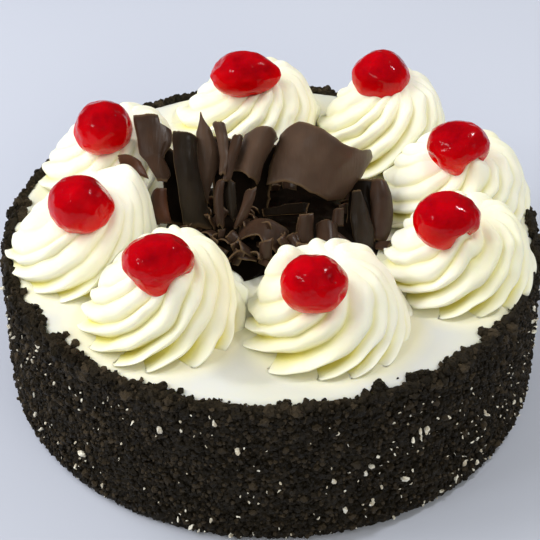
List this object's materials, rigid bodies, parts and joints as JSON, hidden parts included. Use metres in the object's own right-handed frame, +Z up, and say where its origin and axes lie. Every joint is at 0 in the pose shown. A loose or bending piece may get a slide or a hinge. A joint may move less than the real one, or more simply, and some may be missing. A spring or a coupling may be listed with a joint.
{
  "type": "black forest cake",
  "caption": "Round iced cake with chocolate crumbs on its side, piped cream rosettes topped with glacé cherries and a heap of chocolate shards.",
  "frame": {"origin": "centre of the flat base", "axes": "+Z up, -Y towards the side shown in the picture"},
  "size_m": [0.1789, 0.1791, 0.0881],
  "materials": {
    "crumb": "matte",
    "cream": "satin",
    "cherry": "gloss",
    "chocolate": "satin"
  },
  "bodies": {
    "root": {"iced_cake": "crumb", "rosette_1": "cream", "rosette_2": "cream", "rosette_3": "cream", "rosette_4": "cream", "rosette_5": "cream", "rosette_6": "cream", "rosette_7": "cream", "rosette_8": "cream", "cherry_1": "cherry", "cherry_2": "cherry", "cherry_3": "cherry", "cherry_4": "cherry", "cherry_5": "cherry", "cherry_6": "cherry", "cherry_7": "cherry", "cherry_8": "cherry", "shard_1": "chocolate", "shard_2": "chocolate", "shard_3": "chocolate", "shard_4": "chocolate", "shard_5": "chocolate", "shard_6": "chocolate", "shard_7": "chocolate", "shard_8": "chocolate", "shard_9": "chocolate", "shard_10": "chocolate", "shard_11": "chocolate", "shard_12": "chocolate", "shard_13": "chocolate", "shard_14": "chocolate", "shard_15": "chocolate", "shard_16": "chocolate", "shard_17": "chocolate", "shard_18": "chocolate", "shard_19": "chocolate", "shard_20": "chocolate", "shard_21": "chocolate", "shard_22": "chocolate", "shard_23": "chocolate", "shard_24": "chocolate", "shard_25": "chocolate", "flake_heap": "chocolate"}
  },
  "joints": []
}
